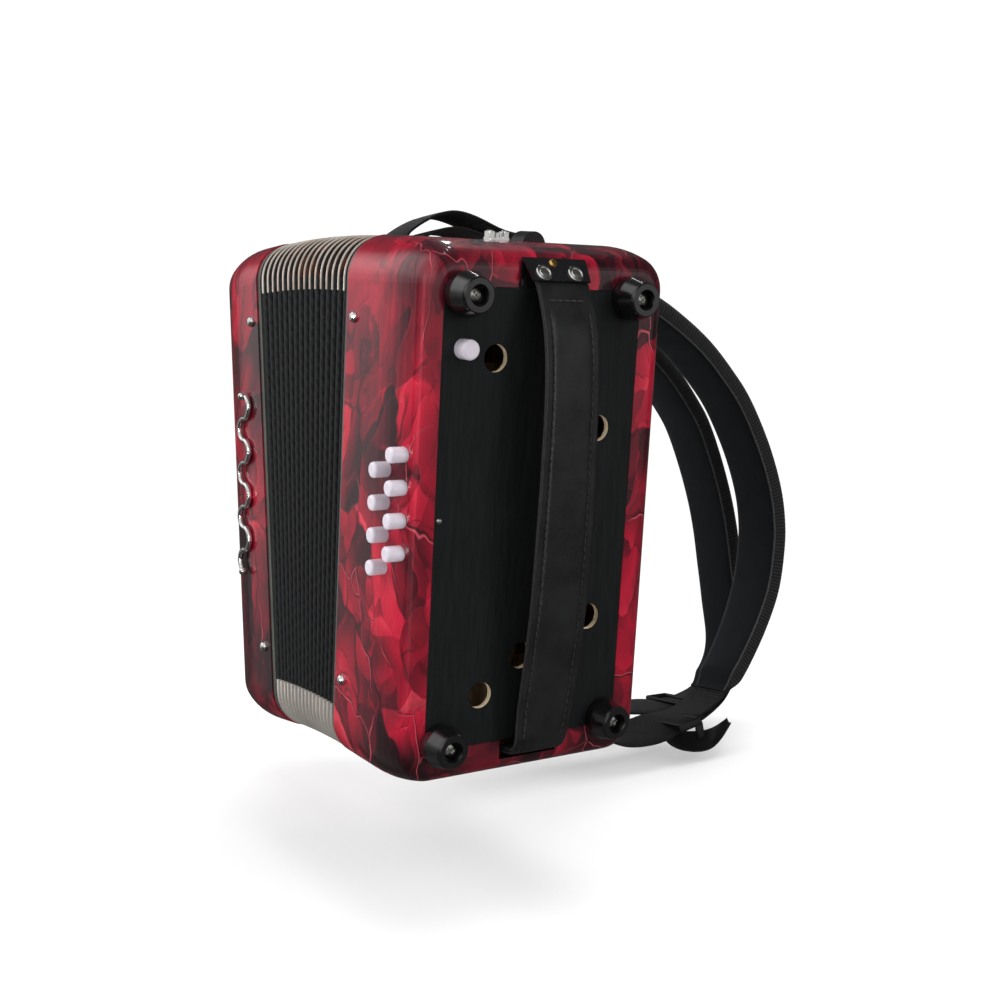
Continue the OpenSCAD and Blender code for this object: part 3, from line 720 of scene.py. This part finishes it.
# ---------------------------------------------------------------- ribbon helpers
def spline(points, steps):
    """Catmull-Rom curve through 2D points."""
    out = []
    for i in range(len(points) - 1):
        a, b, c = points[max(0, i - 1)], points[i], points[i + 1]
        d = points[min(len(points) - 1, i + 2)]
        for j in range(steps):
            t = j / steps
            out.append(tuple(0.5 * ((2 * b[k]) + (c[k] - a[k]) * t
                                    + (2 * a[k] - 5 * b[k] + 4 * c[k] - d[k]) * t * t
                                    + (3 * b[k] - a[k] - 3 * c[k] + d[k]) * t * t * t)
                             for k in range(2)))
    out.append(tuple(points[-1]))
    return out


def resample(path, step):
    """Even stations along a path: points, normals and distances."""
    path = np.array(path, float)
    run = np.r_[0, np.cumsum(np.hypot(*np.diff(path, axis=0).T))]
    count = max(2, int(round(run[-1] / step)) + 1)
    stations = np.linspace(0, run[-1], count)
    x, y = np.interp(stations, run, path[:, 0]), np.interp(stations, run, path[:, 1])
    tangent = np.stack([np.gradient(x), np.gradient(y)], 1)
    tangent /= np.linalg.norm(tangent, axis=1)[:, None]
    return np.stack([x, y], 1), np.stack([-tangent[:, 1], tangent[:, 0]], 1), stations


def mirrored(half):
    """A half section of (side, height), followed by its mirror image."""
    return half + [(-side, height) for side, height in reversed(half)]


def ribbon(name, path, step, section, at, mats, second=(), sharp=50):
    """Sweeps a closed section along a path.

    section(share, distance) gives [(side, height)] and at(point, normal, side, height) metres.
    The section edges numbered in second take the second material.
    """
    points, normals, run = resample(path, step)
    verts, faces, face_mats, ribbon_values = [], [], [], []
    for k in range(len(points)):
        outline = section(run[k] / run[-1], run[k])
        m = len(outline)
        girth = 0.0
        for q, (side, height) in enumerate(outline):
            if q:
                girth += math.hypot(side - outline[q - 1][0], height - outline[q - 1][1])
            verts.append(at(points[k], normals[k], side, height))
            ribbon_values.append((run[k] / 1000, side / 1000, girth / 1000))
    for k in range(len(points) - 1):
        for q in range(m):
            after = (q + 1) % m
            faces.append((k * m + q, (k + 1) * m + q, (k + 1) * m + after, k * m + after))
            face_mats.append(int(q in second))
    faces.append(tuple(range(m)))
    faces.append(tuple((len(points) - 1) * m + q for q in reversed(range(m))))
    obj = mesh(name, verts, faces, mats, face_mats + [0, 0], sharp=sharp)
    store_ribbon_co(obj, ribbon_values)
    return obj


def add_stitch(verts, faces, start, end, radius, n=6):
    """A short stitch between two points in metres, added to a vertex and face list."""
    start, end = Vector(start), Vector(end)
    axis = (end - start).normalized()
    side1 = axis.orthogonal().normalized()
    side2 = axis.cross(side1)
    rings = [(start - axis * radius * 0.8, 0.35), (start, 1.0), (end, 1.0),
             (end + axis * radius * 0.8, 0.35)]
    base = len(verts)
    for centre, size in rings:
        for k in range(n):
            t = 2 * math.pi * k / n
            verts.append(tuple(centre + (side1 * math.cos(t) + side2 * math.sin(t))
                               * radius * size))
    faces += tube_faces(base, len(rings), n)


# ---------------------------------------------------------------- hand strap
# centre line of the strap: (x, z), bottom to top
HAND_PATH = [
    [-5.5, -119], [1.5, -119.2], [6.2, -117.6], [9.0, -113], [10.5, -105], [12, -93],
    [14, -77], [16.3, -58], [18, -38], [18.8, -15], [19.2, 12], [19.1, 38], [18.6, 61],
    [17, 81], [14.2, 95], [10.6, 105], [7.6, 111.2], [5.2, 115.4], [1.9, 119.8]]
HAND_Y = 1.5
HAND_EDGES = (0, 1, 2, 3, 6, 7)      # section edges that show cut leather, on one side
HAND_STITCH_R = 0.00042              # metres
GROOVE_SIDE, GROOVE_STITCH_H = 11.35, 0.85
STITCH_START, STITCH_TOP_Z = 20, 106.5
CROSS_ROW_Z, CROSS_STITCH_H, CROSS_STITCH = 107.2, 1.62, 2.7


def hand_at(point, normal, side, height):
    x, z = point
    twist = (0.13 * ease(z, -118, -95) * (1 - 0.75 * ease(z, -40, 70))
             * (1 - ease(z, 100, 114)))
    return to_frame(x - normal[0] * height + twist * side, HAND_Y + side,
                    z - normal[1] * height)


def hand_section(share, _):
    """An under layer, and over it a padded face between two stitched grooves."""
    pad = ease(share, 0.035, 0.10) * (1 - ease(share, 0.895, 0.938))
    flat = 1 - pad
    crown = 1.55 * pad
    return mirrored([
        (14.4, -1.66), (14.95, -1.45), (15.1, -1.0), (14.95, -0.55), (14.3, -0.32),
        (14.25, -0.2), (14.9, -0.05), (15.25, 0.35), (15.2, 0.95), (14.7, 1.35),
        (13.6, 1.5), (12.5, 1.45), (11.9, 1.1 + 0.35 * flat), (11.5, 0.62 + 0.83 * flat),
        (11.2, 0.62 + 0.83 * flat), (10.8, 1.2 + 0.25 * flat), (10.2, 1.45 + crown * 0.36),
        (9.0, 1.45 + crown * 0.62), (7.0, 1.45 + crown * 0.83), (4.5, 1.45 + crown * 0.95),
        (2.0, 1.45 + crown)])


def hand_stitches(path):
    verts, faces = [], []
    points, normals, run = resample(path, 0.7)

    def stitch(k, end_k, side, end_side, height):
        add_stitch(verts, faces, hand_at(points[k], normals[k], side, height),
                   hand_at(points[end_k], normals[end_k], end_side, height), HAND_STITCH_R)

    first = int(np.argmax(run >= STITCH_START))
    for k in range(first, len(points) - 4, 6):
        if points[k + 4][1] >= STITCH_TOP_Z:
            break
        for side in (-GROOVE_SIDE, GROOVE_SIDE):
            stitch(k, k + 4, side, side, GROOVE_STITCH_H)
    # the cross row below the plate
    row = int(np.argmin(abs(points[:, 1] - CROSS_ROW_Z)))
    for side in np.arange(-10.8, 9.5, 4.1):
        stitch(row, row, side, side + CROSS_STITCH, CROSS_STITCH_H)
    return mesh("hand_strap_stitches", verts, faces, ["thread"])


hand_path = spline(HAND_PATH, 6)
hand_strap = ribbon("hand_strap_leather", hand_path, 2.2, hand_section, hand_at,
                    ["leather", "edge"], {*HAND_EDGES, *(40 - q for q in HAND_EDGES)}, sharp=60)
fasten(hand_strap, "bass_side")
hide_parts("hand_strap")
fasten(hand_stitches(hand_path), "bass_side")

# ---------------------------------------------------------------- shoulder straps
# x: centre of the strap. path, top_tail, low_tail: centre lines in (y, z).
# twist: slope, then the y range where it sets in and the y range where it ends.
STRAPS = {
    "near": dict(
        x=-36, seed=5, twist=(0.36, (120, 195), (226, 262)),
        path=[
            [31.4, 142.6], [35, 148.5], [46, 155.5], [58, 160.6], [69, 162.3], [82, 160],
            [99, 153.8], [122, 146], [152, 136], [190, 123.5], [222, 112], [245, 100],
            [271, 82], [292, 61.5], [309, 40.5], [326, 8.5], [336.5, -22], [339.8, -48],
            [337.8, -70], [332, -94], [320.5, -117], [306, -138.5], [293, -154], [277, -167],
            [259, -175], [240, -180], [216, -184], [190, -181.5], [163, -170], [138, -155],
            [115, -140.5], [98, -131], [85.5, -124.8]],
        top_tail=[[29.2, 138.9], [35, 141.5], [47, 147.0], [61, 151.6], [74, 152.2],
                  [90, 148.6], [108, 143.4], [124, 139.2]],
        low_tail=[[291, -158.5], [281, -169.5], [262, -179.3], [243, -184.5],
                  [231, -187.6]]),
    "far": dict(
        x=-84, seed=9, twist=(0.16, (150, 200), (262, 290)),
        path=[
            [31.4, 142.6], [36, 147], [50, 149.2], [70, 149.2], [96, 146.5], [125, 141],
            [158, 132.5], [195, 121.5], [226, 109.5], [248, 96], [268, 79], [286, 62],
            [301, 43.5], [312, 27], [323, 1], [332, -27], [337.5, -52], [341, -78],
            [344.5, -106], [346, -136], [339.5, -156], [326, -170.5], [307, -177.5],
            [286, -179], [258, -178.5], [226, -174], [190, -165], [155, -154],
            [118, -140.5], [98, -131], [85.5, -124.8]],
        top_tail=[[29.2, 138.9], [36, 141.2], [52, 143.4], [70, 143.6], [92, 141.2],
                  [112, 137.6]],
        low_tail=[[334, -166.5], [322, -175.5], [305, -181.9], [288, -183.6],
                  [272, -183.3]]),
}
PAD_START, PAD_END = 0.195, 0.712      # shares of the strap path
# sections: (side, height)
WEB = 15.6
WEB_SECTION = [
    (WEB, -0.75), (WEB + 0.35, -0.3), (WEB + 0.35, 0.3), (WEB, 0.75), (8, 0.95), (0, 1.0),
    (-8, 0.95), (-WEB, 0.75), (-WEB - 0.35, 0.3), (-WEB - 0.35, -0.3), (-WEB, -0.75),
    (-8, -0.95), (0, -1.0), (8, -0.95)]
PAD_BACK = mirrored([
    (-16.15, -6.2), (-16.6, -4.9), (-16.85, -2.4), (-16.85, 0.4), (-16.75, 2.2),
    (-16.3, 3.9), (-15.4, 4.9), (-14.6, 4.75), (-13.8, 5.1), (-11.0, 5.8), (-6.0, 6.15),
    (-2.0, 6.3)])
PLUSH_EDGES, PAD_EDGES = 11, 36        # plush section edges come first
PIPING_SIDE, PIPING_H, PIPING_R, PIPING_SIDES = 15.95, -6.6, 0.55, 7
PAD_STITCH_SIDE, PAD_STITCH_H, PAD_STITCH_R = 14.6, 4.82, 0.00036
TACK_H, TACK_LENGTH, TACK_R = 1.12, 2.2, 0.0003
TAIL_WIDTHS = {"top": 15.2, "low": 13.2}      # half widths


def puff(share):
    """Thickness of the pad, thinned at both ends."""
    return 0.30 + 0.70 * (ease(share, 0.0, 0.055) * (1 - ease(share, 0.965, 1.0)))


def pad_side(side, share):
    """The pad is wider than its webbing and sits a little to -x, except at its ends."""
    grow = ease(share, 0.0, 0.05) * (1 - ease(share, 0.80, 0.97))
    return side * (1 + 0.150 * grow) - 2.6 * grow


def pad_width(thickness):
    return 0.86 + 0.14 * thickness


def strap(tag, spec):
    path = spline(spec["path"], 6)
    first, last = (int(share * (len(path) - 1)) for share in (PAD_START, PAD_END))
    pad_path = path[first:last + 1]
    phases = np.random.RandomState(spec["seed"]).uniform(0, 6.28, 6)

    def at(point, normal, side, height, slope=0.0):
        return on_treble(spec["x"] + side, point[0] + normal[0] * height,
                         point[1] + normal[1] * height - slope * side)

    def web_at(point, normal, side, height):
        """The free lower run hangs a little edge-on."""
        slope, sets_in, ends = spec["twist"]
        slope *= ease(point[0], *sets_in) * (1 - ease(point[0], *ends))
        return at(point, normal, side, height, 0.0 if point[1] > -60 else slope)

    def pad_section(share, distance):
        """Wavy plush face inside the loop, ribbed mesh round the sides and back."""
        thick = puff(share)
        wave = (0.22 * math.sin(distance / 9.0 + phases[0])
                + 0.16 * math.sin(distance / 4.3 + phases[1]))
        rib = 0.16 * math.sin(distance * 2 * math.pi / 3.0)
        face = mirrored([(15.7, -6.7), (15.0, -7.3), (13.4, -7.9), (10.5, -8.35 - 0.3 * wave),
                         (6.0, -8.8 - 0.6 * wave), (2.0, -8.95 - wave * 0.7)])
        out = [(pad_side(s * pad_width(thick), share), h * thick) for s, h in face]
        for s, h in PAD_BACK:
            side_rib = math.copysign(rib if abs(s) > 15.9 else 0, s)
            back_rib = rib if h > 4.8 and abs(s) < 14 else 0
            out.append((pad_side(s * pad_width(thick), share) + side_rib,
                        (h + back_rib) * thick))
        return out

    def piping():
        """A cord along each of the two plush seams."""
        verts, faces = [], []
        points, normals, run = resample(pad_path, 2.0)
        for sign in (1, -1):
            base = len(verts)
            for k in range(len(points)):
                share = run[k] / run[-1]
                thick = puff(share)
                side = pad_side(sign * PIPING_SIDE * pad_width(thick), share)
                for r in range(PIPING_SIDES):
                    t = 2 * math.pi * r / PIPING_SIDES
                    verts.append(at(points[k], normals[k], side + PIPING_R * math.cos(t),
                                    PIPING_H * thick + PIPING_R * math.sin(t)))
            faces += tube_faces(base, len(points), PIPING_SIDES)
        return mesh("strap_piping_" + tag, verts, faces, ["piping"])

    def stitches():
        """Rows along the pad's back, and bar tacks where the webbing leaves the pad."""
        verts, faces = [], []
        points, normals, run = resample(pad_path, 1.0)
        for k in range(14, len(points) - 16, 5):
            for sign in (1, -1):
                ends = [at(points[i], normals[i],
                           pad_side(sign * PAD_STITCH_SIDE, run[i] / run[-1]), PAD_STITCH_H)
                        for i in (k, k + 3)]
                add_stitch(verts, faces, *ends, PAD_STITCH_R)
        for part in (path[first - 4:first + 1], path[last:last + 5]):
            points, normals, _ = resample(part, 0.8)
            for k in (1, 4, 7):
                if k >= len(points):
                    continue
                for side in np.arange(-13, 11, 3.4):
                    for height in (TACK_H, -TACK_H):
                        ends = [at(points[k], normals[k], s, height)
                                for s in (side, side + TACK_LENGTH)]
                        add_stitch(verts, faces, *ends, TACK_R)
        return mesh("strap_stitches_" + tag, verts, faces, ["thread"])

    fasten(ribbon("strap_webbing_" + tag, path, 2.4, lambda *_: WEB_SECTION, web_at,
                  ["webbing"]), "treble_side")
    pad = ribbon("strap_pad_" + tag, pad_path, 1.0, pad_section, at, ["plush", "ribbed"],
                 range(PLUSH_EDGES, PAD_EDGES), sharp=55)
    fasten(pad, "treble_side")
    fasten(piping(), "treble_side")
    fasten(stitches(), "treble_side")
    if tag == "near":
        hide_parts("shoulder_straps")

    # free ends: webbing doubled back from the top, and the folded tail by the slider
    for end, w in TAIL_WIDTHS.items():
        def tail_section(share, _):
            t = 0.85 + 0.85 * ease(share, 0.90, 0.92)      # the tip is folded double
            return [(w, -t), (w + 0.3, -t * 0.4), (w + 0.3, t * 0.4), (w, t), (0, t + 0.1),
                    (-w, t), (-w - 0.3, t * 0.4), (-w - 0.3, -t * 0.4), (-w, -t),
                    (0, -t - 0.1)]

        tail = ribbon("strap_%s_tail_%s" % (end, tag), spline(spec[end + "_tail"], 8), 1.6,
                      tail_section, at, ["webbing"])
        fasten(tail, "treble_side")


for tag, spec in STRAPS.items():
    strap(tag, spec)

# ---------------------------------------------------------------- ladder-lock sliders
# the two long edges of the curved grip: (y, z)
GRIP_EDGE1 = [(226.2, -187.8), (231.5, -192.4), (242.3, -197.5), (257.0, -200.6),
              (269.2, -199.8), (278.9, -194.0), (287.7, -184.5)]
GRIP_EDGE2 = [(260.5, -191.3), (267.1, -192.2), (275.7, -193.4), (286.3, -194.2),
              (295.1, -193.2), (303.0, -190.7), (309.0, -188.2)]
GRIP_X, GRIP_WIDTH = 15, 27        # x of the first edge from the strap's centre, and width
GRIP_SAG, GRIP_THICKNESS, GRIP_ROUND = 1.6, 2.0, 1.2
GRIP_ACROSS = 9                    # points across the grip
# cross bars: (y, z, width)
SLIDER_BARS = ((-8.4, 1.6, 3.4), (0, -1.4, 3.8), (8.4, 1.6, 3.4))


def slider(tag, centre, tilt, grip_shift, grip_share):
    """Side rails, three bars and a grip below; centre and grip_shift are (y, z)."""
    verts, faces = [], []
    strap_x = STRAPS[tag]["x"]
    c, s = math.cos(math.radians(tilt)), math.sin(math.radians(tilt))

    def slab(place, size, bevel):
        bm = bmesh.new()
        bmesh.ops.create_cube(bm, size=1)
        for v in bm.verts:
            v.co = (v.co.x * size[0], v.co.y * size[1], v.co.z * size[2])
        bmesh.ops.bevel(bm, geom=bm.edges[:], offset=bevel, segments=3, affect="EDGES",
                        profile=0.5)
        base = len(verts)
        bm.verts.ensure_lookup_table()
        for v in bm.verts:
            y, z = place[1] + v.co.y, place[2] + v.co.z
            verts.append(on_treble(strap_x + place[0] + v.co.x, centre[0] + y * c - z * s,
                                   centre[1] + y * s + z * c))
        for face in bm.faces:
            faces.append(tuple(base + v.index for v in face.verts))
        bm.free()

    def grip():
        edge1, edge2 = spline(GRIP_EDGE1, 6), spline(GRIP_EDGE2, 6)
        n, m = len(edge1), GRIP_ACROSS
        top, bottom = [], []
        for (y1, z1), (y2, z2) in zip(edge1, edge2):
            for q in range(m):
                t = q / (m - 1)
                across = 0.5 + (t - 0.5) * grip_share
                x = strap_x + GRIP_X - GRIP_WIDTH * across
                y = y1 * (1 - across) + y2 * across + grip_shift[0]
                z = (z1 * (1 - across) + z2 * across - GRIP_SAG * math.sin(math.pi * t)
                     + grip_shift[1])
                rounding = GRIP_ROUND * (abs(t - 0.5) * 2) ** 4
                top.append((x, y, z))
                bottom.append((x, y, z - GRIP_THICKNESS + rounding))
        base, under = len(verts), n * m
        verts.extend(on_treble(*point) for point in top + bottom)
        for k in range(n - 1):
            for q in range(m - 1):
                v = base + k * m + q
                w = v + under
                faces.append((v, v + 1, v + m + 1, v + m))
                faces.append((w + m, w + m + 1, w + 1, w))
        for k in range(n - 1):
            for q in (0, m - 1):
                v = base + k * m + q
                quad = (v, v + m, under + v + m, under + v)
                faces.append(quad if q == 0 else quad[::-1])
        for q in range(m - 1):
            for k in (0, n - 1):
                v = base + k * m + q
                quad = (v + 1, v, under + v, under + v + 1)
                faces.append(quad if k == 0 else quad[::-1])

    for sign in (-1, 1):
        slab((sign * 18.3, 0, 0), (3.2, 20, 6.2), bevel=1.3)             # rail
        slab((sign * 13.5, 12.0, -8.6), (2.4, 6.5, 11.5), bevel=0.9)     # leg to the grip
    for y, z, width in SLIDER_BARS:
        slab((0, y, z), (36, width, 2.6), bevel=0.9)
    grip()
    obj = mesh("strap_slider_" + tag, verts, faces, ["plastic"], sharp=45)
    fasten(obj, "treble_side")
    return obj


near_slider = slider("near", centre=(246, -180), tilt=10, grip_shift=(0, 0), grip_share=1.0)
slider("far", centre=(288, -178.5), tilt=-1, grip_shift=(26, 2.5), grip_share=0.8)
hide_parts("strap_sliders")

# ---------------------------------------------------------------- camera
bpy.context.view_layer.update()
scene = bpy.context.scene
scene.view_settings.view_transform = "Standard"
AZIMUTH, ELEVATION, ROLL = (math.radians(a) for a in (55.2821, 10.4786, 3.0160))
CAMERA_TARGET, CAMERA_DISTANCE = (0, -25.4, 1.58), 723.7      # working millimetres
LENS, SENSOR_WIDTH = 53.3826, 36
SHIFT_X, SHIFT_Y = 0.00226, 0.01834      # shares of the sensor width


def camera():
    back = Vector((math.sin(AZIMUTH) * math.cos(ELEVATION),
                   -math.cos(AZIMUTH) * math.cos(ELEVATION), math.sin(ELEVATION)))
    right = (-back).cross(Vector((0, 0, 1))).normalized()
    up = right.cross(-back)
    rolled_right = right * math.cos(ROLL) + up * math.sin(ROLL)
    rolled_up = -right * math.sin(ROLL) + up * math.cos(ROLL)
    data = bpy.data.cameras.new("photo_camera")
    data.sensor_width, data.lens = SENSOR_WIDTH, LENS
    data.shift_x, data.shift_y = SHIFT_X, SHIFT_Y
    data.clip_start, data.clip_end = 0.01, 50
    obj = bpy.data.objects.new("photo_camera", data)
    matrix = Matrix((rolled_right, rolled_up, back)).transposed().to_4x4()
    matrix.translation = to_frame(*(Vector(CAMERA_TARGET) + back * CAMERA_DISTANCE))
    obj.matrix_world = matrix
    scene.collection.objects.link(obj)
    scene.camera = obj


camera()

# ---------------------------------------------------------------- floor
FLOOR_Z = CAD_LO.z - 0.0015
FLOOR_HALF = 3


def floor_material():
    """Pale floor that fades out away from the origin."""
    m = Mat("studio_floor")
    clouds = m.noise(3, 4, 0.5).remap(0.3, 0.7)
    distance = m.node("VectorMath", {0: m.mapping(m.co, scale=(1, 1, 0))}, out=1,
                      operation="LENGTH")
    m.set(base=m.mix(clouds, (0.90, 0.90, 0.905), (0.93, 0.93, 0.935)), rough=0.55, spec=0.3,
          normal=m.bump(m.noise(400, 3, 0.5), strength=0.02, distance=0.0002),
          alpha=distance.remap(0.25, 0.85, 0.62, 0, smooth=True))
    return m.material


MATS["floor"] = floor_material()
floor = mesh("studio_floor", [(x * FLOOR_HALF, y * FLOOR_HALF, FLOOR_Z)
                              for x, y in ((-1, -1), (1, -1), (1, 1), (-1, 1))],
             [(0, 1, 2, 3)], ["floor"], smooth=False)
floor.visible_glossy = False

# ---------------------------------------------------------------- lights
LIGHT_TARGET = (0, 0, 0.13)


def area(name, location, size, power, glossy=False, target=LIGHT_TARGET, up="Y"):
    """Rectangular light; glossy lights show in reflections."""
    light = bpy.data.lights.new(name, "AREA")
    light.shape, light.energy = "RECTANGLE", power
    light.size, light.size_y = size
    obj = bpy.data.objects.new(name, light)
    obj.location = location
    aim = Vector(target) - Vector(location)
    obj.rotation_euler = aim.to_track_quat("-Z", up).to_euler()
    obj.visible_glossy = glossy
    scene.collection.objects.link(obj)


area("strip_front", (0.52, -1.55, 0.30), size=(0.05, 1.10), power=7, glossy=True)
area("key_left", (-0.75, -1.35, 0.95), size=(0.9, 1.1), power=22)
area("key_right", (1.35, 1.05, 0.95), size=(0.5, 1.2), power=15)
area("top", (0.05, 0.15, 1.75), size=(1.5, 1.3), power=22)
area("back", (-1.25, 1.35, 0.95), size=(1.1, 1.0), power=12)
area("strip_top", (-0.62, 0.55, 1.38), size=(2.0, 0.035), power=1.3, glossy=True,
     target=(0, 0.25, 0.13), up="X")


# ---------------------------------------------------------------- world
def world():
    studio = bpy.data.worlds.new("studio")
    scene.world = studio
    studio.use_nodes = True
    g = Graph(studio.node_tree)

    def background(strength):
        return g.node("Background", {"Color": (1, 1, 1), "Strength": strength})

    x, y, z = g.split(g.node("TexCoord", out="Generated"))
    rays = g.new("LightPath").outputs
    # what lights the object: a pale room, brighter overhead
    room = background(z.remap(-0.15, 0.85, 0.24, 0.62))
    # what it mirrors: mostly dark, with pale flats towards -x -y, +x, and high towards -y
    flat = x.remap(-0.25, -0.65) * y.remap(-0.15, -0.45) * z.remap(-0.32, 0.02, 0.12, 0.66)
    side = x.remap(0.45, 0.75) * z.remap(-0.20, 0.02, 0.04, 0.55) * z.remap(0.20, 0.45, 1, 0.1)
    high = y.remap(-0.10, -0.40) * z.remap(0.05, 0.35, 0, 0.75)
    mirrored_room = background(flat + side + (high + 0.05))
    lit = g.node("MixShader", {0: Value(g, rays["Is Glossy Ray"]), 1: room, 2: mirrored_room})
    seen = g.node("MixShader", {0: Value(g, rays["Is Camera Ray"]), 1: lit,
                                2: background(1.05)})
    g.new("OutputWorld", {0: seen})


world()
